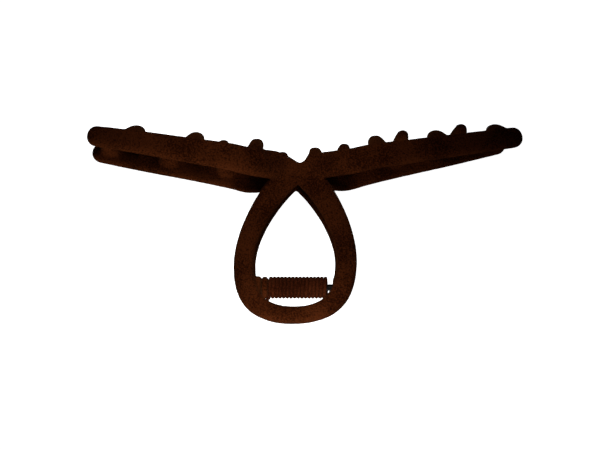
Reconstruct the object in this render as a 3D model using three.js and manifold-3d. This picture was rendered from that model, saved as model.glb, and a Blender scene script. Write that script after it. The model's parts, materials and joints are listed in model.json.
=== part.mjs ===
// A flocked claw clip for hair: two moulded jaws on one hinge pin, held shut by a torsion spring.
// Each jaw is a teardrop loop that crosses over into two tapered arms with a comb of curved teeth.
// Millimetres. +X runs along the clip, +Y from the handles to the teeth, +Z out of the front jaw.

import * as THREE from 'three';
import { mergeVertices } from 'three/addons/utils/BufferGeometryUtils.js';
import Module from 'manifold-3d';

// Loop: a teardrop bar round an open hole. Heights are measured from the hinge axis.
const LOOP_THICKNESS = 3.4;
const LOOP_LEVEL = 5.4;            // middle of the bar, out from the plane between the jaws
const LOOP_BOTTOM = -9.75;
const LOOP_WIDEST = { x: 16.6, y: 6.6 };
const LOOP_SHOULDER = { x: 7.5, y: 29.7 };
const LOOP_NOTCH = 33.6;
const HOLE_BOTTOM = -5.55;
const HOLE_WIDEST = { x: 11.2, y: 6.4 };
const HOLE_SHOULDER = { x: 1.3, y: 26.5 };
const HOLE_APEX = 27.8;
const LOOP_OVERLAP = 0.2;          // the two halves run this far into each other on the middle line
const CROSSING_SHARE = 0.2;        // share of each half of the loop that is the crossing
const LOOP_LEAN = 0.03;            // sideways lean of the loop's middle line, for each mm of height
const LEAN_PIVOT_Y = 20.0;
const HANDLE_FLARE = 5.0;          // how far the handle end leans out from the loop's plane
const FLARE_START = 13.0;

// Arms: tapered bands that bow outwards from the crossing and close in towards their tips.
const FRONT_REACH = { left: 57.0, right: 61.3 };
const BACK_REACH = { left: 58.2, right: 60.8 };
const FRONT_ARM_HEIGHT = { left: 8.1, right: 7.3 };   // at the root
const BACK_ARM_HEIGHT = { left: 8.1, right: 8.1 };
const ARM_TIP_HEIGHT = 5.5;
const ARM_THICKNESS = { root: 4.0, tip: 3.6 };
const ARM_PINCH = 4.4;             // the arm is this much less high where the two arms meet
const PINCH_SHARE = 0.13;
const BACK_ROOT_DROP = 0.55;       // the back arms start this much lower
const FRONT_TIP_LIFT = { left: 0.4, right: 0 };   // how much higher the arms end
const BACK_TIP_LIFT = { left: 0, right: 0 };
const ARM_BOW = 13.8;
const ARM_TIP_LEVEL = 7.2;
const ARM_ROOT_Y = 32.8;
const ARM_TIP_Y = 40.7;

// Teeth: one comb on each jaw, the two combs set apart so that the teeth interleave.
const TEETH_PER_JAW = 7;
const TOOTH_PITCH = 16.5;
// x: the middle tooth. lean: how far a tip stands to the side. rise: how high it ends above the arm.
// fullBy: the share of the arm by which teeth have grown to their full height.
const FRONT_COMB = {
  x: 5.2, lean: { left: 0.4, right: -0.4 }, rise: { left: 8.0, right: 8.0 }, fullBy: 0.14,
};
const BACK_COMB = {
  x: -3.7, lean: { left: 0.5, right: 1.5 }, rise: { left: 8.0, right: 9.6 }, fullBy: 0.35,
};
const TOOTH_WIDTH = { root: 4.2, tip: 3.2 };
const TOOTH_HEIGHT = { root: 5.0, tip: 3.4 };
const TOOTH_ARCH = 7.3;            // how high the back of a tooth is drawn up on its way inwards
const TOOTH_TAPER = 0.67;          // height at the arm's tip as a share of that at its root
const TOOTH_FOOT = 2.0;            // extra width where a tooth grows out of the arm
const FOOT_SHARE = 0.45;
const TOOTH_PAST_MIDDLE = 1.2;

// Hinge: a steel pin through two lugs of each jaw, with the coil between the inner lugs.
const PIN_RADIUS = 0.9;
const PIN_ENDS = { left: -13.4, right: 14.8 };
const BORE_RADIUS = 1.2;
const LUG_RADIUS = 3.0;
const FRONT_LUGS = [[-12.9, -9.7], [12.2, 14.2]];
const BACK_LUGS = [[-9.4, -8.25], [10.0, 11.8]];
const LUG_STEM = 6.6;              // the right lugs' blocks run this far out, into the loop
const WEB_LEVELS = { low: 4.0, high: 6.4 };
const WEB_LEFT = -14.6;            // the left lugs' webs run this far under the loop
const BACK_SKEW = 1.2;             // degrees that the back jaw sits askew, through play in its bores

// Spring: close-wound wire with one leg behind each handle.
const WIRE_RADIUS = 0.42;
const COIL_RADIUS = 2.6;
const COIL_TURNS = 15.5;
const COIL_PITCH = 1.0;
const COIL_START = -7.4;
const LEG_REACH = 6.4;
const LEG_SWAY = 2.0;              // how far the front leg turns aside, to end behind the bar's corner
const LEG_GAP = 0.4;

const FLOCK_BROWN = new THREE.Color(0.09, 0.035, 0.015);
const STEEL_GREY = new THREE.Color(0.22, 0.2, 0.18);

const wasm = await Module();
wasm.setup();

function toSolid(geometry) {
  const bare = geometry.clone();
  bare.deleteAttribute('normal');
  bare.deleteAttribute('uv');
  const welded = mergeVertices(bare, 1e-4);
  return new wasm.Manifold(new wasm.Mesh({
    numProp: 3,
    vertProperties: new Float32Array(welded.attributes.position.array),
    triVerts: new Uint32Array(welded.index.array),
  }));
}

function toGeometry(solid) {
  const mesh = solid.getMesh();
  const geometry = new THREE.BufferGeometry();
  geometry.setAttribute('position', new THREE.BufferAttribute(mesh.vertProperties, 3));
  geometry.setIndex(new THREE.BufferAttribute(mesh.triVerts, 1));
  geometry.computeVertexNormals();
  return geometry;
}

// Swaps two corners of every face, which a mirrored geometry needs for its faces to look outwards again.
function turnedInsideOut(geometry) {
  const index = geometry.index ?? new THREE.BufferAttribute(
    Uint32Array.from({ length: geometry.attributes.position.count }, (_, i) => i), 1);
  for (let i = 0; i < index.count; i += 3) {
    const first = index.getX(i);
    index.setX(i, index.getX(i + 1));
    index.setX(i + 1, first);
  }
  geometry.setIndex(index);
  geometry.computeVertexNormals();
  return geometry;
}

// How far a handle leans out at height y: nothing above the flare's start, then a rising curve.
function flare(y) {
  const run = Math.max(0, FLARE_START - y) / (FLARE_START - LOOP_BOTTOM);
  return HANDLE_FLARE * run * run;
}

// One half of an outline, from the middle of its bottom round its widest point to the middle of its top.
function halfOutline(bottom, widest, shoulder, top) {
  const lower = new THREE.CubicBezierCurve(
    new THREE.Vector2(0, bottom),
    new THREE.Vector2(0.67 * widest.x, bottom),
    new THREE.Vector2(widest.x, widest.y - 0.7 * (widest.y - bottom)),
    new THREE.Vector2(widest.x, widest.y));
  const upper = new THREE.CubicBezierCurve(
    new THREE.Vector2(widest.x, widest.y),
    new THREE.Vector2(widest.x, widest.y + 0.3 * (shoulder.y - widest.y)),
    new THREE.Vector2(shoulder.x + 0.6 * (widest.x - shoulder.x), widest.y + 0.69 * (shoulder.y - widest.y)),
    new THREE.Vector2(shoulder.x, shoulder.y));
  const crossing = new THREE.LineCurve(new THREE.Vector2(shoulder.x, shoulder.y), new THREE.Vector2(0, top));
  const barShare = (1 - CROSSING_SHARE) / 2;
  return (t) => {
    if (t < barShare) return lower.getPoint(t / barShare);
    if (t < 2 * barShare) return upper.getPoint((t - barShare) / barShare);
    return crossing.getPoint((t - 2 * barShare) / CROSSING_SHARE);
  };
}

// How far the loop's middle line lies to the side at height y.
function lean(y) {
  return LOOP_LEAN * (y - LEAN_PIVOT_Y);
}

const loopOutline = halfOutline(LOOP_BOTTOM, LOOP_WIDEST, LOOP_SHOULDER, LOOP_NOTCH);
const holeOutline = halfOutline(HOLE_BOTTOM, HOLE_WIDEST, HOLE_SHOULDER, HOLE_APEX);

function onFlare(point) {
  return new THREE.Vector3(point.x, point.y, LOOP_LEVEL + flare(point.y));
}

// Half of the loop: a bar swept between the hole's outline and the loop's, square to the flared surface.
function loopHalf(side) {
  const steps = 30;
  const geometry = new THREE.ExtrudeGeometry(unitSection(0.2), { depth: 1, steps, bevelEnabled: false });
  const position = geometry.attributes.position;
  for (let i = 0; i < position.count; i += 1) {
    const along = position.getZ(i);
    const inner = onFlare(holeOutline(along));
    const outer = onFlare(loopOutline(along));
    const centre = inner.clone().lerp(outer, 0.5);
    const slope = (flare(centre.y + 0.1) - flare(centre.y - 0.1)) / 0.2;
    const out = new THREE.Vector3(0, -slope, 1).normalize();
    centre.addScaledVector(outer.sub(inner), position.getX(i));
    centre.addScaledVector(out, position.getY(i) * LOOP_THICKNESS);
    const overlap = along < 0.5 / steps || along > 1 - 0.5 / steps ? -LOOP_OVERLAP : 0;
    position.setXYZ(i, side * (centre.x + overlap) + lean(centre.y), centre.y, centre.z);
  }
  return side < 0 ? geometry : turnedInsideOut(geometry);
}

// A section one unit wide and high, with cut corners.
function unitSection(corner) {
  const h = 0.5;
  const c = h - corner;
  return new THREE.Shape([
    [h, -c], [h, c], [c, h], [-c, h], [-h, c], [-h, -c], [-c, -h], [c, -h],
  ].map(([x, y]) => new THREE.Vector2(x, y)));
}

// A bar along a curve, with its own width and height at each place and a rounded far end.
// Height lies along +Y as nearly as the curve allows.
function taperedBar({ curve, sizeAt, corner, steps, tipSteps }) {
  const total = steps + tipSteps;
  const straight = { depth: 1, steps: total, bevelEnabled: false };
  const geometry = new THREE.ExtrudeGeometry(unitSection(corner), straight);
  const tipSize = sizeAt(1);
  const tipLength = Math.max(tipSize.width, tipSize.height) / 2;
  const tipStart = 1 - tipLength / curve.getLength();
  const position = geometry.attributes.position;
  const up = new THREE.Vector3(0, 1, 0);
  for (let i = 0; i < position.count; i += 1) {
    const step = Math.round(position.getZ(i) * total);
    const angle = Math.max(0, step - steps) / tipSteps * 1.35;
    const along = step <= steps ? tipStart * step / steps : tipStart + (1 - tipStart) * Math.sin(angle);
    const centre = curve.getPointAt(along);
    const tangent = curve.getTangentAt(along);
    const height = up.clone().addScaledVector(tangent, -up.dot(tangent)).normalize();
    const width = height.clone().cross(tangent);
    const size = sizeAt(along);
    const shrink = Math.cos(angle);
    centre.addScaledVector(width, position.getX(i) * size.width * shrink);
    centre.addScaledVector(height, position.getY(i) * size.height * shrink);
    position.setXYZ(i, centre.x, centre.y, centre.z);
  }
  return geometry;
}

// The middle line of an arm: out of the crossing, up over the bow, then in and up to the tip at x.
function armCurve(tipX, rootDrop, tipLift) {
  const middle = lean(ARM_ROOT_Y);
  const dropAt = (out) => rootDrop * (1 - THREE.MathUtils.smoothstep(out, 0.2, 0.5));
  const points = [
    [-0.01, -0.14, LOOP_LEVEL],
    [0.06, 0, LOOP_LEVEL],
    [0.12, 0, LOOP_LEVEL + 2.2],
    [0.23, 0, ARM_BOW - 0.6],
    [0.33, 0.15, ARM_BOW - 0.1],
    [0.50, 0.355, ARM_BOW - 1.1],
    [0.75, 0.67, ARM_BOW - 3.3],
    [1, 1, ARM_TIP_LEVEL],
  ];
  return new THREE.CatmullRomCurve3(points.map(([out, rise, level]) => new THREE.Vector3(
    middle + out * (tipX - middle),
    ARM_ROOT_Y + rise * (ARM_TIP_Y - ARM_ROOT_Y) - dropAt(out) + tipLift * Math.min(1, 2 * out * out),
    level)));
}

function arm(curve, rootHeight) {
  return taperedBar({
    curve,
    sizeAt: (t) => ({
      width: THREE.MathUtils.lerp(ARM_THICKNESS.root, ARM_THICKNESS.tip, t),
      height: THREE.MathUtils.lerp(rootHeight, ARM_TIP_HEIGHT, t)
        - ARM_PINCH * (1 - THREE.MathUtils.smoothstep(t, 0, PINCH_SHARE)),
    }),
    corner: 0.22,
    steps: 18,
    tipSteps: 4,
  });
}

// The point at x on an arm's middle line.
function onArm(x, curve) {
  let low = 0;
  let high = 1;
  while (high - low > 1e-4) {
    const middle = (low + high) / 2;
    if (Math.abs(curve.getPoint(middle).x) < Math.abs(x)) low = middle;
    else high = middle;
  }
  return curve.getPoint(low);
}

// A tooth grows from the arm, arches up and inwards, and ends a little past the middle plane.
// Teeth are lower towards the arm's tip, as the arm is, and beside the crossing.
function tooth(x, curve, comb) {
  const { lerp, smoothstep } = THREE.MathUtils;
  const side = x < 0 ? 'left' : 'right';
  const { y, z } = onArm(x, curve);
  const along = x / curve.getPoint(1).x;
  const taper = lerp(1, TOOTH_TAPER, along);
  const growth = taper * taper * lerp(0.55, 1, smoothstep(along, 0.07, comb.fullBy));
  const path = new THREE.QuadraticBezierCurve3(
    new THREE.Vector3(x, y + 0.7, z),
    new THREE.Vector3(x, y + TOOTH_ARCH * growth, 0.6 * z),
    new THREE.Vector3(x + comb.lean[side], y + comb.rise[side] * growth, -TOOTH_PAST_MIDDLE));
  return taperedBar({
    curve: path,
    sizeAt: (t) => ({
      width: lerp(TOOTH_WIDTH.root, TOOTH_WIDTH.tip, t) + TOOTH_FOOT * (1 - smoothstep(t, 0, FOOT_SHARE)),
      height: lerp(TOOTH_HEIGHT.root, TOOTH_HEIGHT.tip, t),
    }),
    corner: 0.2,
    steps: 5,
    tipSteps: 2,
  });
}

function cylinderAlongX(radius, from, to, sides) {
  const geometry = new THREE.CylinderGeometry(radius, radius, to - from, sides);
  geometry.rotateZ(Math.PI / 2);
  geometry.translate((from + to) / 2, 0, 0);
  return geometry;
}

function lugBlock(from, to, low, high) {
  const block = new THREE.BoxGeometry(to - from, 2 * LUG_RADIUS - 0.4, high - low);
  block.translate((from + to) / 2, 0, (low + high) / 2);
  return toSolid(block);
}

// A lug: a round eye on the hinge axis and a block out to the loop. The left lugs stand inside the
// loop's hole, so a web carries their blocks sideways under the loop.
function lug(from, to) {
  const eye = toSolid(cylinderAlongX(LUG_RADIUS, from, to, 20));
  if (from > 0) return eye.add(lugBlock(from, to, 0, LUG_STEM));
  const web = lugBlock(WEB_LEFT, to, WEB_LEVELS.low, WEB_LEVELS.high);
  return eye.add(lugBlock(from, to, 0, WEB_LEVELS.high)).add(web);
}

// One jaw with its face towards +Z: loop, crossing, two arms, teeth and hinge lugs in one moulding.
function jaw({ lugs, reach, rootHeight, rootDrop, tipLift, comb, skew }) {
  const left = armCurve(-reach.left, rootDrop, tipLift.left);
  const right = armCurve(reach.right, rootDrop, tipLift.right);
  let solid = toSolid(loopHalf(1));
  solid = solid.add(toSolid(loopHalf(-1)));
  solid = solid.add(toSolid(arm(left, rootHeight.left)));
  solid = solid.add(toSolid(arm(right, rootHeight.right)));
  for (let i = 0; i < TEETH_PER_JAW; i += 1) {
    const x = comb.x + (i - (TEETH_PER_JAW - 1) / 2) * TOOTH_PITCH;
    solid = solid.add(toSolid(tooth(x, x < 0 ? left : right, comb)));
  }
  solid = solid.rotate([0, 0, skew]);
  for (const [from, to] of lugs) solid = solid.add(lug(from, to));
  const bore = cylinderAlongX(BORE_RADIUS, 2 * PIN_ENDS.left, 2 * PIN_ENDS.right, 20);
  return toGeometry(solid.subtract(toSolid(bore)));
}

function frontJaw() {
  return jaw({
    lugs: FRONT_LUGS,
    reach: FRONT_REACH,
    rootHeight: FRONT_ARM_HEIGHT,
    rootDrop: 0,
    tipLift: FRONT_TIP_LIFT,
    comb: FRONT_COMB,
    skew: 0,
  });
}

// A jaw turned to face -Z, its left and right kept as they are.
function backJaw() {
  const facingUp = jaw({
    lugs: BACK_LUGS,
    reach: BACK_REACH,
    rootHeight: BACK_ARM_HEIGHT,
    rootDrop: BACK_ROOT_DROP,
    tipLift: BACK_TIP_LIFT,
    comb: BACK_COMB,
    skew: BACK_SKEW,
  });
  return turnedInsideOut(facingUp.scale(1, 1, -1));
}

function hingePin() {
  const { left, right } = PIN_ENDS;
  const dome = 0.35;
  const profile = [
    [0, -right], [0.6 * PIN_RADIUS, -right + 0.25 * dome], [PIN_RADIUS, -right + dome],
    [PIN_RADIUS, -left - dome], [0.6 * PIN_RADIUS, -left - 0.25 * dome], [0, -left],
  ].map(([r, y]) => new THREE.Vector2(r, y));
  return new THREE.LatheGeometry(profile, 16).rotateZ(Math.PI / 2);
}

// The wire's middle line: up the front leg, round the coil, and down the back leg.
class SpringWire extends THREE.Curve {
  constructor() {
    super();
    this.coil = 2 * Math.PI * COIL_RADIUS * COIL_TURNS;
    this.front = this.leg(1, COIL_START, LEG_SWAY);
    this.back = this.leg(-1, COIL_START + COIL_TURNS * COIL_PITCH, 0);
    this.total = this.coil + this.front.getLength() + this.back.getLength();
  }

  // A leg from the coil to the inside of a handle. It keeps its gap from the handle's sloping inner face.
  leg(side, x, sway) {
    const slope = (flare(-LEG_REACH - 0.1) - flare(-LEG_REACH + 0.1)) / 0.2;
    const depth = LOOP_THICKNESS / 2 + WIRE_RADIUS + LEG_GAP;
    const end = LOOP_LEVEL + flare(-LEG_REACH) - depth * Math.hypot(1, slope);
    const lower = COIL_RADIUS + 0.45 * (end - COIL_RADIUS);
    return new THREE.CatmullRomCurve3([
      new THREE.Vector3(x, 0, side * COIL_RADIUS),
      new THREE.Vector3(x, -0.35 * LEG_REACH, side * (COIL_RADIUS + 0.3)),
      new THREE.Vector3(x - 0.6 * sway, -0.7 * LEG_REACH, side * lower),
      new THREE.Vector3(x - sway, -LEG_REACH, side * end),
    ]);
  }

  getPoint(t) {
    const place = t * this.total;
    const frontLength = this.front.getLength();
    if (place < frontLength) return this.front.getPointAt(1 - place / frontLength);
    const afterFront = place - frontLength;
    if (afterFront > this.coil) {
      return this.back.getPointAt(Math.min(1, (afterFront - this.coil) / this.back.getLength()));
    }
    const turns = afterFront / this.coil * COIL_TURNS;
    const angle = Math.PI / 2 - 2 * Math.PI * turns;
    return new THREE.Vector3(
      COIL_START + turns * COIL_PITCH, COIL_RADIUS * Math.cos(angle), COIL_RADIUS * Math.sin(angle));
  }
}

function torsionSpring() {
  const sides = 6;
  const stepsPerTurn = 10;
  const section = new THREE.Shape(Array.from({ length: sides }, (_, i) => new THREE.Vector2(
    WIRE_RADIUS * Math.cos(2 * Math.PI * i / sides), WIRE_RADIUS * Math.sin(2 * Math.PI * i / sides))));
  const path = new SpringWire();
  path.arcLengthDivisions = 2000;
  return new THREE.ExtrudeGeometry(section, {
    steps: Math.round((COIL_TURNS + 1) * stepsPerTurn), extrudePath: path,
  });
}

function piece(name, geometry, color, roughness, metalness) {
  const mesh = new THREE.Mesh(geometry, new THREE.MeshStandardMaterial({ color, roughness, metalness }));
  mesh.name = name;
  return mesh;
}

const assembly = new THREE.Group();
assembly.add(
  piece('front_jaw', frontJaw(), FLOCK_BROWN, 0.95, 0),
  piece('back_jaw', backJaw(), FLOCK_BROWN, 0.95, 0),
  piece('hinge_pin', hingePin(), STEEL_GREY, 0.35, 1),
  piece('torsion_spring', torsionSpring(), FLOCK_BROWN, 0.9, 0),
);

// The back arms rest on Z = 0 and the clip's box is centred over the origin.
const box = new THREE.Box3().setFromObject(assembly);
assembly.position.set(-(box.min.x + box.max.x) / 2, -(box.min.y + box.max.y) / 2, -box.min.z);

const clawClip = new THREE.Group();
clawClip.add(assembly);

export default clawClip;
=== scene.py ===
import json
import math

import bmesh
import bpy
import numpy as np
from mathutils import Matrix, Vector, noise


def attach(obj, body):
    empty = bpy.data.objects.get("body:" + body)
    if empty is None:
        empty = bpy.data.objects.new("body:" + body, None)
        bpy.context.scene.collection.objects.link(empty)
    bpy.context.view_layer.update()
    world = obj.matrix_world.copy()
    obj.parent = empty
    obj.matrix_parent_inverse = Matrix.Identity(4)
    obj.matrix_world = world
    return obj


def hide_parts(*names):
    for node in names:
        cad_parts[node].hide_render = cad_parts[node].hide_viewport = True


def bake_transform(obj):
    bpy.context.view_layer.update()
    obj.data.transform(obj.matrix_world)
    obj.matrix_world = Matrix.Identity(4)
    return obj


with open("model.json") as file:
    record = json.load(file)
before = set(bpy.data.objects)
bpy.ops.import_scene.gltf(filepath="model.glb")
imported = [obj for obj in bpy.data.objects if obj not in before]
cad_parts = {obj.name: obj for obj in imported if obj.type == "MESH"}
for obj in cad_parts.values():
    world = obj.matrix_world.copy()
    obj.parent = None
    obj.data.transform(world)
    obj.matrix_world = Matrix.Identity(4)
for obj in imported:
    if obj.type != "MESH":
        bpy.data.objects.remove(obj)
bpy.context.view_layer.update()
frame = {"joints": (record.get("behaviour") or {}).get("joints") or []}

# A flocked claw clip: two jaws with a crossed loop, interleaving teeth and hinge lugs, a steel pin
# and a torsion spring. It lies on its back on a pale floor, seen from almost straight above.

MM = 0.001
HINGE = np.array(frame["joints"][0]["pos_m"])

# Sizes in millimetres, measured from the hinge axis: x along the clip, y towards the teeth,
# z out from the plane between the jaws.
LOOP_THICKNESS = 3.4
LOOP_LEVEL = 5.4
LOOP_BOTTOM = -9.75
LOOP_WIDEST = (16.6, 6.6)
LOOP_SHOULDER = (7.5, 29.7)
LOOP_NOTCH = 33.6
HOLE_BOTTOM = -5.55
HOLE_WIDEST = (11.2, 6.4)
HOLE_SHOULDER = (1.3, 26.5)
HOLE_APEX = 27.8
CROSSING_SHARE = 0.2     # how much of an outline runs straight through the crossing
LOOP_LEAN = 0.030
LEAN_PIVOT_Y = 20.0
HANDLE_FLARE = 5.0
FLARE_START = 13.0

# How far the control points of an outline's curves reach, as shares of what they span.
BOTTOM_REACH = 0.67
LOWER_SIDE_REACH = 0.7
UPPER_SIDE_REACH = 0.3
SHOULDER_REACH = (0.6, 0.69)     # across and up

ARM_REACH = ((57.0, 61.3), (58.2, 60.8))     # left and right, front jaw then back
ARM_ROOT_HEIGHT = ((8.1, 7.3), (8.1, 8.1))   # left and right, front jaw then back
ARM_TIP_HEIGHT = 5.5
ARM_THICKNESS = (4.0, 3.6)
ARM_PINCH = 4.4             # how much lower an arm is where it leaves the crossing
ARM_PINCH_END = 0.13
ROOT_DROP = (0.0, 0.55)     # how much lower the arms start, front jaw then back
DROP_FADE = (0.2, 0.5)      # the shares of the arm between which the drop fades out
TIP_LIFT = ((0.4, 0.0), (0.0, 0.0))     # how much higher the arms end
ARM_BOW = 13.8
ARM_TIP_LEVEL = 7.2
ARM_ROOT_Y = 32.8
ARM_TIP_Y = 40.7

TEETH_PER_JAW = 7
TOOTH_PITCH = 16.5
# Each comb: its middle tooth's x, how far the tips stand to the side and how high they rise on the
# left and on the right, and the share of the arm by which the teeth reach their full height.
FRONT_COMB = {"x": 5.2, "lean": (0.4, -0.4), "rise": (8.0, 8.0), "full_by": 0.14}
BACK_COMB = {"x": -3.7, "lean": (0.5, 1.5), "rise": (8.0, 9.6), "full_by": 0.35}
JAW_SKEW = math.radians(1.2)     # how far the back jaw sits askew on the pin
TOOTH_WIDTH = (4.2, 3.2)
TOOTH_HEIGHT = (5.0, 3.4)
TOOTH_ARCH = 7.3
TOOTH_TAPER = 0.67          # a tooth's height at the arm's tip, as a share of that at its root
TOOTH_ROOT_LIFT = 0.7       # how far above the arm's middle line a tooth starts
TOOTH_ARCH_LEVEL = 0.6      # how far out the arch stands, as a share of the root's level
TOOTH_FOOT = 2.0            # extra width where a tooth grows out of the arm
FOOT_SHARE = 0.45
TOOTH_PAST_MIDDLE = 1.2
LEAST_GROWTH = 0.55         # the height of a tooth beside the crossing, as a share of the full one
GROWTH_START = 0.07         # the share of the arm from which teeth are higher than that

PIN_RADIUS = 0.9
PIN_ENDS = (-13.4, 14.8)
BORE_RADIUS = 1.15
LUG_RADIUS = 3.0
FRONT_LUGS = ((-12.9, -9.7), (12.2, 14.2))
BACK_LUGS = ((-9.6, -8.0), (10.0, 11.8))
LUG_STEM = 6.6
STEM_INSET = 0.2            # how much narrower a lug's stem is than its eye, on each side
WEB_LEVELS = (4.0, 6.4)
WEB_LEFT = -14.6
EDGE_ROUNDING = 0.25

WIRE_RADIUS = 0.51          # with its coating, so that the turns touch
COIL_RADIUS = 2.56
COIL_TURNS = 15.5
COIL_PITCH = 1.0
COIL_START = -7.4
LEG_REACH = 6.4
LEG_SWAY = 2.0              # how far the front leg turns aside, to end behind the bar's corner
LEG_GAP = 0.4
LEG_UPPER_BEND = (0.35, 0.3)     # share of the reach, and how far outside the coil's level
LEG_LOWER_BEND = (0.7, 0.6, 0.45)     # shares of the reach, of the sway and of the way outwards

# Looks of the surface: bars are squarer the higher the number, and 2 is round.
LOOP_SQUARENESS = 3.0
ARM_SQUARENESS = 2.8
TOOTH_SQUARENESS = 2.6
VOXEL = 0.3                 # size of the grid that fuses a jaw's parts into one skin
SMOOTHING = 8
NAP_DEPTH = 0.05            # how far the flock's surface wanders
NAP_LUMPS = ((0.6, 0.5), (0.7, 1.6))     # weight of the large and small lumps, and lumps per mm
NAP_SEEDS = (11, 23)        # front jaw, back jaw

# How finely the shapes are drawn.
BAR_SIDES = 32
ARM_STEPS = 90
LOOP_STEPS = 90
TOOTH_STEPS = 24
TOOTH_PATH_POINTS = 9
TIP_RINGS = 8
TIP_END_ANGLE = 1.45        # a bar's rounded tip ends in a small flat, just short of a quarter turn
SPLINE_STEPS = 24
TANGENT_STEP = 0.01
ROD_SIDES = 48
BORE_SIDES = 32
WIRE_SIDES = 12
LEG_STEPS = 20
STEPS_PER_TURN = 40

# Colours are linear red, green and blue.
SHEEN_BROWN = (0.50, 0.20, 0.08)
JAW_FLOCK = {"dark": (0.008, 0.0016, 0.0004), "light": (0.037, 0.0085, 0.0022), "sheen": 0.06}
WIRE_FLOCK = {"dark": (0.011, 0.0022, 0.0008), "light": (0.036, 0.0080, 0.0026), "sheen": 0.02}
# The pin's near-black steel colour is painted shade, as dark as the shaded slot it shows in.
STEEL_PAINTED_SHADE = (0.006, 0.005, 0.0045)
PATCH_SCALE = 120           # patches of leaning nap, per metre
GRAIN_SCALE = 2600          # grains of fibre, per metre
PATCH_SHARE = 0.55          # how much the patches add to the grain
DARK_BELOW = 0.62
LIGHT_ABOVE = 0.90
STEEL_LINE_SCALE = (60, 3000, 3000)     # drawing lines, long in x

FLOOR_SIZE = 3.0            # metres
FLOOR_GAP = 0.0002          # metres under the clip
CAMERA_DISTANCE = 0.250     # metres
CAMERA_TILT = math.radians(6.6)
CAMERA_TARGET = (2.2, 17.3, 0)     # millimetres from the hinge
PICTURE_WIDTH = 0.169       # metres that the picture spans at the target
SENSOR_WIDTH = 36


# ---------------------------------------------------------------- shapes

def lerp(pair, t):
    return pair[0] + (pair[1] - pair[0]) * t


def smoothstep(t, low, high):
    s = min(1.0, max(0.0, (t - low) / (high - low)))
    return s * s * (3 - 2 * s)


def unit(vector):
    return vector / np.linalg.norm(vector)


def angles_round(count):
    return np.arange(count) * 2 * math.pi / count


def rounded_section(count, power):
    """Points of a rounded square one unit across: the higher the power, the squarer."""
    angles = angles_round(count)
    cos, sin = np.cos(angles), np.sin(angles)
    reach = (np.abs(cos) ** power + np.abs(sin) ** power) ** (-1 / power)
    return np.column_stack((cos, sin)) * reach[:, None] / 2


def spline(points):
    """A smooth curve through the points, as a function of 0 to 1 with even speed."""
    points = np.array(points, float)
    padded = np.vstack((2 * points[0] - points[1], points, 2 * points[-1] - points[-2]))
    fine = []
    for i in range(1, len(padded) - 2):
        a, b, c, d = padded[i - 1:i + 3]
        for t in np.linspace(0, 1, SPLINE_STEPS, endpoint=False):
            fine.append(0.5 * (2 * b + (c - a) * t + (2 * a - 5 * b + 4 * c - d) * t ** 2
                               + (3 * b - a - 3 * c + d) * t ** 3))
    fine.append(points[-1])
    fine = np.array(fine)
    length = np.concatenate(([0], np.cumsum(np.linalg.norm(np.diff(fine, axis=0), axis=1))))

    def at(t):
        place = t * length[-1]
        return np.array([np.interp(place, length, fine[:, k]) for k in range(3)])

    at.length = length[-1]
    at.fine = fine
    return at


def add_rings(bm, rings):
    """A closed skin through rings of points, with flat ends, its faces turned outwards later."""
    loops = [[bm.verts.new(Vector(p)) for p in ring] for ring in rings]
    count = len(loops[0])
    for low, high in zip(loops, loops[1:]):
        for i in range(count):
            j = (i + 1) % count
            bm.faces.new((low[i], low[j], high[j], high[i]))
    bm.faces.new(loops[0][::-1])
    bm.faces.new(loops[-1])


def add_bar(bm, curve, size_at, power, steps):
    """A tapered bar along a curve with a rounded far end. Its height lies as near to +y as it can."""
    section = rounded_section(BAR_SIDES, power)
    tip_width, tip_height = size_at(1)
    tip_start = 1 - max(tip_width, tip_height) / 2 / curve.length
    up = np.array((0.0, 1.0, 0.0))
    body = [(tip_start * i / steps, 1.0) for i in range(steps)]
    tip = [(tip_start + (1 - tip_start) * math.sin(a), math.cos(a))
           for a in np.linspace(0, TIP_END_ANGLE, TIP_RINGS)]
    rings = []
    for along, shrink in body + tip:
        centre = curve(along)
        tangent = unit(curve(min(1, along + TANGENT_STEP)) - curve(max(0, along - TANGENT_STEP)))
        height = unit(up - tangent * (up @ tangent))
        width = np.cross(height, tangent)
        w, h = size_at(along)
        rings.append([centre + width * (a * w * shrink) + height * (b * h * shrink) for a, b in section])
    add_rings(bm, rings)


def bezier(a, b, c, d, t):
    return ((1 - t) ** 3 * np.array(a) + 3 * (1 - t) ** 2 * t * np.array(b)
            + 3 * (1 - t) * t ** 2 * np.array(c) + t ** 3 * np.array(d))


def half_outline(bottom, widest, shoulder, top):
    """Half of a teardrop outline, from the middle of its bottom to the middle of its top."""
    x, y = widest
    drop = y - bottom
    rise = shoulder[1] - y
    across, up = SHOULDER_REACH
    lower = ((0, bottom), (BOTTOM_REACH * x, bottom), (x, y - LOWER_SIDE_REACH * drop), (x, y))
    upper = ((x, y), (x, y + UPPER_SIDE_REACH * rise),
             (shoulder[0] + across * (x - shoulder[0]), y + up * rise), shoulder)
    bar = (1 - CROSSING_SHARE) / 2

    def at(t):
        if t < bar:
            return bezier(*lower, t / bar)
        if t < 2 * bar:
            return bezier(*upper, (t - bar) / bar)
        return np.array(shoulder) + (np.array((0, top)) - shoulder) * (t - 2 * bar) / CROSSING_SHARE

    return at


def flare(y):
    """How far the handle leans out at height y."""
    run = max(0.0, FLARE_START - y) / (FLARE_START - LOOP_BOTTOM)
    return HANDLE_FLARE * run * run


def flare_slope(y):
    return (flare(y + 0.1) - flare(y - 0.1)) / 0.2


def on_flare(point):
    return np.array((point[0], point[1], LOOP_LEVEL + flare(point[1])))


def lean(y):
    """How far the loop's middle line lies to the side at height y."""
    return LOOP_LEAN * (y - LEAN_PIVOT_Y)


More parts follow.
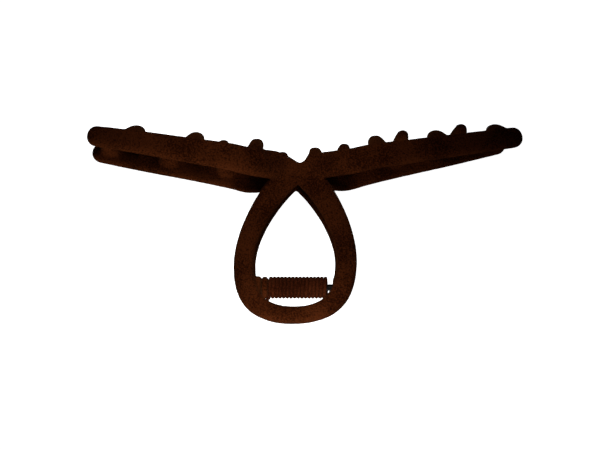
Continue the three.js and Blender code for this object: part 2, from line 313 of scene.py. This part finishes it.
def add_loop_half(bm, side):
    """Half of the loop: a bar swept between the hole's outline and the loop's, along the flare."""
    section = rounded_section(BAR_SIDES, LOOP_SQUARENESS)
    loop_outline = half_outline(LOOP_BOTTOM, LOOP_WIDEST, LOOP_SHOULDER, LOOP_NOTCH)
    hole_outline = half_outline(HOLE_BOTTOM, HOLE_WIDEST, HOLE_SHOULDER, HOLE_APEX)
    rings = []
    for along in np.linspace(0, 1, LOOP_STEPS):
        inner = on_flare(hole_outline(along))
        outer = on_flare(loop_outline(along))
        centre = (inner + outer) / 2
        out = unit(np.array((0, -flare_slope(centre[1]), 1)))
        ring = np.array([centre + (outer - inner) * a + out * (b * LOOP_THICKNESS) for a, b in section])
        if along in (0.0, 1.0):
            ring[:, 0] -= VOXEL     # the two halves overlap a little, so that they fuse
        ring[:, 0] = ring[:, 0] * side + lean(ring[:, 1])
        rings.append(ring)
    add_rings(bm, rings)


def arm_curve(reach, root_drop, tip_lift):
    """The middle line of an arm: out of the crossing, up over the bow, then in and up to the tip."""
    outline = ((-0.01, -0.14, LOOP_LEVEL), (0.06, 0, LOOP_LEVEL), (0.12, 0, LOOP_LEVEL + 2.2),
               (0.23, 0, ARM_BOW - 0.6), (0.33, 0.15, ARM_BOW - 0.1), (0.50, 0.355, ARM_BOW - 1.1),
               (0.75, 0.67, ARM_BOW - 3.3), (1, 1, ARM_TIP_LEVEL))
    rise = ARM_TIP_Y - ARM_ROOT_Y
    middle = lean(ARM_ROOT_Y)
    points = []
    for out, up, level in outline:
        drop = root_drop * (1 - smoothstep(out, *DROP_FADE))
        lift = tip_lift * min(1, 2 * out * out)
        points.append((middle + out * (reach - middle), ARM_ROOT_Y + up * rise - drop + lift, level))
    return spline(points)


def add_arm(bm, curve, root_height):
    def size_at(t):
        pinch = ARM_PINCH * (1 - smoothstep(t, 0, ARM_PINCH_END))
        return lerp(ARM_THICKNESS, t), lerp((root_height, ARM_TIP_HEIGHT), t) - pinch

    add_bar(bm, curve, size_at, ARM_SQUARENESS, ARM_STEPS)


def add_tooth(bm, x, curve, comb):
    """A tooth grows from the arm, arches up and inwards, and ends a little past the middle plane."""
    _, y, z = curve.fine[np.argmin(np.abs(curve.fine[:, 0] - x))]
    along = x / curve.fine[-1, 0]
    taper = lerp((1, TOOTH_TAPER), along)
    growth = taper ** 2 * lerp((LEAST_GROWTH, 1), smoothstep(along, GROWTH_START, comb["full_by"]))
    side = 0 if x < 0 else 1
    root = np.array((x, y + TOOTH_ROOT_LIFT, z))
    control = np.array((x, y + TOOTH_ARCH * growth, TOOTH_ARCH_LEVEL * z))
    end = np.array((x + comb["lean"][side], y + comb["rise"][side] * growth, -TOOTH_PAST_MIDDLE))
    path = spline([(1 - t) ** 2 * root + 2 * (1 - t) * t * control + t ** 2 * end
                   for t in np.linspace(0, 1, TOOTH_PATH_POINTS)])

    def size_at(t):
        foot = TOOTH_FOOT * (1 - smoothstep(t, 0, FOOT_SHARE))
        return lerp(TOOTH_WIDTH, t) + foot, lerp(TOOTH_HEIGHT, t)

    add_bar(bm, path, size_at, TOOTH_SQUARENESS, TOOTH_STEPS)


def add_rod_along_x(bm, radius, start, end, count=ROD_SIDES, rounding=0.0):
    profile = ((start, radius - rounding), (start + rounding, radius),
               (end - rounding, radius), (end, radius - rounding))
    rings = []
    for x, r in profile:
        rings.append([(x, r * math.cos(a), r * math.sin(a)) for a in angles_round(count)])
    add_rings(bm, rings)


def add_block(bm, across, half_height, levels):
    low, high = levels
    corners = ((-half_height, low), (half_height, low), (half_height, high), (-half_height, high))
    add_rings(bm, [[(x, y, z) for y, z in corners] for x in across])


def add_lug(bm, start, end):
    """A round eye on the hinge axis and a block out to the loop. The left lugs stand inside the
    loop's hole, so a web carries their blocks sideways under the loop."""
    add_rod_along_x(bm, LUG_RADIUS, start, end, rounding=EDGE_ROUNDING)
    half = LUG_RADIUS - STEM_INSET
    if start > 0:
        add_block(bm, (start, end), half, (0, LUG_STEM))
        return
    add_block(bm, (start, end), half, (0, WEB_LEVELS[1]))
    add_block(bm, (WEB_LEFT, end), half, WEB_LEVELS)


def mesh_object(name, bm):
    bmesh.ops.recalc_face_normals(bm, faces=bm.faces)
    mesh = bpy.data.meshes.new(name)
    bm.to_mesh(mesh)
    bm.free()
    obj = bpy.data.objects.new(name, mesh)
    bpy.context.scene.collection.objects.link(obj)
    return obj


def apply_modifiers(obj):
    evaluated = obj.evaluated_get(bpy.context.evaluated_depsgraph_get())
    mesh = bpy.data.meshes.new_from_object(evaluated)
    obj.modifiers.clear()
    obj.data = mesh


def vertices_of(obj):
    co = np.empty(len(obj.data.vertices) * 3)
    obj.data.vertices.foreach_get("co", co)
    return co.reshape(-1, 3)


def to_row_frame(obj, facing):
    """Turns hinge-based millimetres into metres in the row frame. facing -1 looks down at the floor."""
    co = vertices_of(obj) * np.array((1, 1, facing)) * MM + HINGE
    obj.data.vertices.foreach_set("co", co.ravel())
    if facing < 0:
        obj.data.flip_normals()
    obj.data.update()


def shade_smooth(obj):
    for polygon in obj.data.polygons:
        polygon.use_smooth = True


def fuse(jaw):
    """Turns the overlapping parts of a jaw into one soft-edged skin."""
    remesh = jaw.modifiers.new("fuse", "REMESH")
    remesh.mode = "VOXEL"
    remesh.voxel_size = VOXEL
    smooth = jaw.modifiers.new("soften", "SMOOTH")
    smooth.factor = 0.5
    smooth.iterations = SMOOTHING
    apply_modifiers(jaw)


def cut_bore(jaw):
    bm = bmesh.new()
    add_rod_along_x(bm, BORE_RADIUS, 2 * PIN_ENDS[0], 2 * PIN_ENDS[1], count=BORE_SIDES)
    drill = mesh_object("drill", bm)
    cut = jaw.modifiers.new("bore", "BOOLEAN")
    cut.operation = "DIFFERENCE"
    cut.solver = "EXACT"
    cut.object = drill
    bpy.context.view_layer.update()
    apply_modifiers(jaw)
    bpy.data.objects.remove(drill)


def roughen(obj, seed):
    """Moves the skin in and out a little, in soft lumps, as flock lies unevenly."""
    offset = Vector((seed * 3.1, seed * 1.7, seed * 0.9))
    normals = np.empty(len(obj.data.vertices) * 3)
    obj.data.vertices.foreach_get("normal", normals)
    co = vertices_of(obj)
    lift = np.array([sum(weight * noise.noise(Vector(p) * per_mm + offset) for weight, per_mm in NAP_LUMPS)
                     for p in co])
    co += normals.reshape(-1, 3) * (lift * NAP_DEPTH)[:, None]
    obj.data.vertices.foreach_set("co", co.ravel())
    obj.data.update()


def make_jaw(name, facing, index, lugs, comb, skew):
    """A jaw: loop, crossing, two arms, teeth and lugs. index 0 is the front jaw, 1 the back jaw."""
    bm = bmesh.new()
    arms = []
    for i, side in enumerate((-1, 1)):
        curve = arm_curve(side * ARM_REACH[index][i], ROOT_DROP[index], TIP_LIFT[index][i])
        add_loop_half(bm, side)
        add_arm(bm, curve, ARM_ROOT_HEIGHT[index][i])
        arms.append(curve)
    for i in range(TEETH_PER_JAW):
        x = comb["x"] + (i - (TEETH_PER_JAW - 1) / 2) * TOOTH_PITCH
        add_tooth(bm, x, arms[0 if x < 0 else 1], comb)
    bmesh.ops.rotate(bm, verts=bm.verts, cent=(0, 0, 0), matrix=Matrix.Rotation(skew, 3, "Z"))
    for start, end in lugs:
        add_lug(bm, start, end)
    jaw = mesh_object(name, bm)
    fuse(jaw)
    cut_bore(jaw)
    roughen(jaw, NAP_SEEDS[index])
    to_row_frame(jaw, facing)
    shade_smooth(jaw)
    return jaw


def make_pin():
    bm = bmesh.new()
    add_rod_along_x(bm, PIN_RADIUS, *PIN_ENDS, rounding=EDGE_ROUNDING)
    pin = mesh_object("steel_hinge_pin", bm)
    to_row_frame(pin, 1)
    return pin


def spring_leg(side, x, sway):
    """A leg from the coil to the inside of a handle, clear of the handle's sloping inner face."""
    depth = LOOP_THICKNESS / 2 + WIRE_RADIUS + LEG_GAP
    end = LOOP_LEVEL + flare(-LEG_REACH) - depth * math.hypot(1, flare_slope(-LEG_REACH))
    upper_reach, upper_out = LEG_UPPER_BEND
    lower_reach, lower_sway, lower_out = LEG_LOWER_BEND
    lower = COIL_RADIUS + lower_out * (end - COIL_RADIUS)
    return spline([(x, 0, side * COIL_RADIUS),
                   (x, -upper_reach * LEG_REACH, side * (COIL_RADIUS + upper_out)),
                   (x - lower_sway * sway, -lower_reach * LEG_REACH, side * lower),
                   (x - sway, -LEG_REACH, side * end)])


def wire_path():
    """The wire's middle line: up the front leg, round the coil, down the back leg."""
    front = spring_leg(1, COIL_START, LEG_SWAY)
    back = spring_leg(-1, COIL_START + COIL_TURNS * COIL_PITCH, 0)
    points = [front(t) for t in np.linspace(1, 0, LEG_STEPS, endpoint=False)]
    for turn in np.linspace(0, COIL_TURNS, int(COIL_TURNS * STEPS_PER_TURN) + 1):
        angle = math.pi / 2 - 2 * math.pi * turn
        x = COIL_START + turn * COIL_PITCH
        points.append(np.array((x, COIL_RADIUS * math.cos(angle), COIL_RADIUS * math.sin(angle))))
    points += [back(t) for t in np.linspace(0, 1, LEG_STEPS + 1)[1:]]
    return np.array(points)


def make_spring():
    points = wire_path()
    tangents = np.gradient(points, axis=0)
    tangents /= np.linalg.norm(tangents, axis=1)[:, None]
    normal = unit(np.cross(tangents[0], (1.0, 0.0, 0.0)))
    rings = []
    for point, tangent in zip(points, tangents):
        normal = unit(normal - tangent * (normal @ tangent))
        side = np.cross(tangent, normal)
        rings.append([point + WIRE_RADIUS * (normal * math.cos(a) + side * math.sin(a))
                      for a in angles_round(WIRE_SIDES)])
    bm = bmesh.new()
    add_rings(bm, rings)
    spring = mesh_object("flocked_torsion_spring", bm)
    to_row_frame(spring, 1)
    shade_smooth(spring)
    return spring


# ---------------------------------------------------------------- materials

def new_material(name):
    material = bpy.data.materials.new(name)
    material.use_nodes = True
    return material, material.node_tree.nodes["Principled BSDF"]


def noise_texture(nodes, scale, detail):
    texture = nodes.new("ShaderNodeTexNoise")
    texture.inputs["Scale"].default_value = scale
    texture.inputs["Detail"].default_value = detail
    return texture


def flock_material(name, dark, light, sheen):
    """Short velvety fibres: soft patches where the nap leans, fine grain, and sheen at grazing angles."""
    material, shader = new_material(name)
    nodes = material.node_tree.nodes
    links = material.node_tree.links
    place = nodes.new("ShaderNodeTexCoord")
    patches = noise_texture(nodes, PATCH_SCALE, 3)
    grain = noise_texture(nodes, GRAIN_SCALE, 2)
    mix = nodes.new("ShaderNodeMath")
    mix.operation = "MULTIPLY_ADD"
    mix.inputs[1].default_value = PATCH_SHARE
    ramp = nodes.new("ShaderNodeValToRGB")
    ramp.color_ramp.elements[0].position = DARK_BELOW
    ramp.color_ramp.elements[0].color = (*dark, 1)
    ramp.color_ramp.elements[1].position = LIGHT_ABOVE
    ramp.color_ramp.elements[1].color = (*light, 1)
    bump = nodes.new("ShaderNodeBump")
    bump.inputs["Strength"].default_value = 0.5
    bump.inputs["Distance"].default_value = 0.00012
    for texture in (patches, grain):
        links.new(place.outputs["Object"], texture.inputs["Vector"])
    links.new(patches.outputs["Fac"], mix.inputs[0])
    links.new(grain.outputs["Fac"], mix.inputs[2])
    links.new(mix.outputs[0], ramp.inputs["Fac"])
    links.new(ramp.outputs["Color"], shader.inputs["Base Color"])
    links.new(grain.outputs["Fac"], bump.inputs["Height"])
    links.new(bump.outputs["Normal"], shader.inputs["Normal"])
    shader.inputs["Roughness"].default_value = 1.0
    shader.inputs["Specular IOR Level"].default_value = 0.0
    shader.inputs["Sheen Weight"].default_value = sheen
    shader.inputs["Sheen Roughness"].default_value = 0.45
    shader.inputs["Sheen Tint"].default_value = (*SHEEN_BROWN, 1)
    return material


def steel_material():
    """Steel wire with fine drawing lines along it. Its near-black colour is painted shade, as dark as the
    shaded slot between the lugs where the pin shows.
    """
    material, shader = new_material("drawn_steel")
    nodes = material.node_tree.nodes
    links = material.node_tree.links
    place = nodes.new("ShaderNodeTexCoord")
    stretch = nodes.new("ShaderNodeMapping")
    stretch.inputs["Scale"].default_value = STEEL_LINE_SCALE
    lines = noise_texture(nodes, 1, 3)
    rough = nodes.new("ShaderNodeMapRange")
    rough.inputs["To Min"].default_value = 0.45
    rough.inputs["To Max"].default_value = 0.7
    links.new(place.outputs["Object"], stretch.inputs["Vector"])
    links.new(stretch.outputs["Vector"], lines.inputs["Vector"])
    links.new(lines.outputs["Fac"], rough.inputs["Value"])
    links.new(rough.outputs["Result"], shader.inputs["Roughness"])
    # Near-black base colour: painted shade on the pin.
    shader.inputs["Base Color"].default_value = (*STEEL_PAINTED_SHADE, 1)
    shader.inputs["Metallic"].default_value = 1.0
    return material


# ---------------------------------------------------------------- the clip

flock = flock_material("brown_flock", **JAW_FLOCK)
coil_flock = flock_material("brown_flocked_wire", **WIRE_FLOCK)
steel = steel_material()

front_jaw = make_jaw("flocked_front_jaw", 1, 0, FRONT_LUGS, FRONT_COMB, 0.0)
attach(front_jaw, "front")
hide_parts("front_jaw")
front_jaw.data.materials.append(flock)

back_jaw = make_jaw("flocked_back_jaw", -1, 1, BACK_LUGS, BACK_COMB, JAW_SKEW)
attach(back_jaw, "back")
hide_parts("back_jaw")
back_jaw.data.materials.append(flock)

pin = make_pin()
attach(pin, "back")
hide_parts("hinge_pin")
pin.data.materials.append(steel)

# The spring's turns run along its barrel. It is one fixed piece, with its front leg reaching to the front
# jaw and its back leg to the back jaw.
spring = make_spring()
spring.data.materials.append(coil_flock)
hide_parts("torsion_spring")
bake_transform(spring)


# ---------------------------------------------------------------- floor, lights and camera

def make_floor():
    """A white sheet under the clip that neither lights it nor shows in it."""
    bpy.ops.mesh.primitive_plane_add(size=FLOOR_SIZE, location=(0, 0, -FLOOR_GAP))
    floor = bpy.context.object
    floor.name = "floor"
    material, shader = new_material("pale_floor")
    shader.inputs["Base Color"].default_value = (0.9, 0.9, 0.9, 1)
    shader.inputs["Roughness"].default_value = 0.9
    shader.inputs["Emission Color"].default_value = (1, 1, 1, 1)
    shader.inputs["Emission Strength"].default_value = 1.0
    floor.data.materials.append(material)
    floor.visible_diffuse = False
    floor.visible_glossy = False


def aim(obj, target):
    obj.rotation_euler = (Vector(target) - obj.location).to_track_quat("-Z", "Y").to_euler()


def add_spot(name, location, target, radius, energy, cone):
    """A soft-edged lamp. Its place and target are in millimetres from the hinge, its radius is in
    metres, its energy in watts and its cone in degrees."""
    data = bpy.data.lights.new(name, "SPOT")
    data.shadow_soft_size = radius
    data.energy = energy
    data.spot_size = math.radians(cone)
    data.spot_blend = 1.0
    light = bpy.data.objects.new(name, data)
    light.location = HINGE + np.array(location) * MM
    bpy.context.scene.collection.objects.link(light)
    aim(light, HINGE + np.array(target) * MM)


def make_lights():
    """A soft key over the middle, a close lamp over the handle end, and a low one along the floor."""
    add_spot("soft_key", location=(-17, 55, 115), target=(-10, 28, 8), radius=0.025, energy=0.44, cone=70)
    add_spot("handle_light", location=(0, -8, 80), target=(0, -17, 8), radius=0.015, energy=0.37, cone=47)
    add_spot("low_light", location=(-20, -230, 25), target=(-24, 20, 0), radius=0.04, energy=4.4, cone=34)


def make_world():
    """A dim white room, brighter from below the clip than from above it."""
    world = bpy.data.worlds.new("soft_room")
    world.use_nodes = True
    nodes = world.node_tree.nodes
    links = world.node_tree.links
    room = nodes["Background"]
    room.inputs["Color"].default_value = (1, 1, 1, 1)
    direction = nodes.new("ShaderNodeTexCoord")
    height = nodes.new("ShaderNodeSeparateXYZ")
    glow = nodes.new("ShaderNodeMapRange")
    glow.inputs["From Min"].default_value = -0.5
    glow.inputs["From Max"].default_value = 0.25
    glow.inputs["To Min"].default_value = 0.30
    glow.inputs["To Max"].default_value = 0.03
    links.new(direction.outputs["Generated"], height.inputs[0])
    links.new(height.outputs["Z"], glow.inputs["Value"])
    links.new(glow.outputs["Result"], room.inputs["Strength"])
    bpy.context.scene.world = world
    bpy.context.scene.view_settings.view_transform = "Standard"


def level_rotation(backwards):
    """The turn of a camera that looks against this direction with the row's y upright in the picture."""
    z = Vector(unit(backwards))
    x = Vector((0, 1, 0)).cross(z).normalized()
    return Matrix((x, z.cross(x), z)).transposed().to_euler()


def make_camera():
    """Almost straight above, tipped a little towards the handles."""
    target = HINGE + np.array(CAMERA_TARGET) * MM
    direction = np.array((0.0, -math.sin(CAMERA_TILT), math.cos(CAMERA_TILT)))
    data = bpy.data.cameras.new("camera")
    data.sensor_width = SENSOR_WIDTH
    data.lens = SENSOR_WIDTH * CAMERA_DISTANCE / PICTURE_WIDTH
    data.clip_start = 0.01
    camera = bpy.data.objects.new("camera", data)
    camera.location = target + direction * CAMERA_DISTANCE
    camera.rotation_euler = level_rotation(direction)
    bpy.context.scene.collection.objects.link(camera)
    bpy.context.scene.camera = camera


make_floor()
make_camera()
make_lights()
make_world()
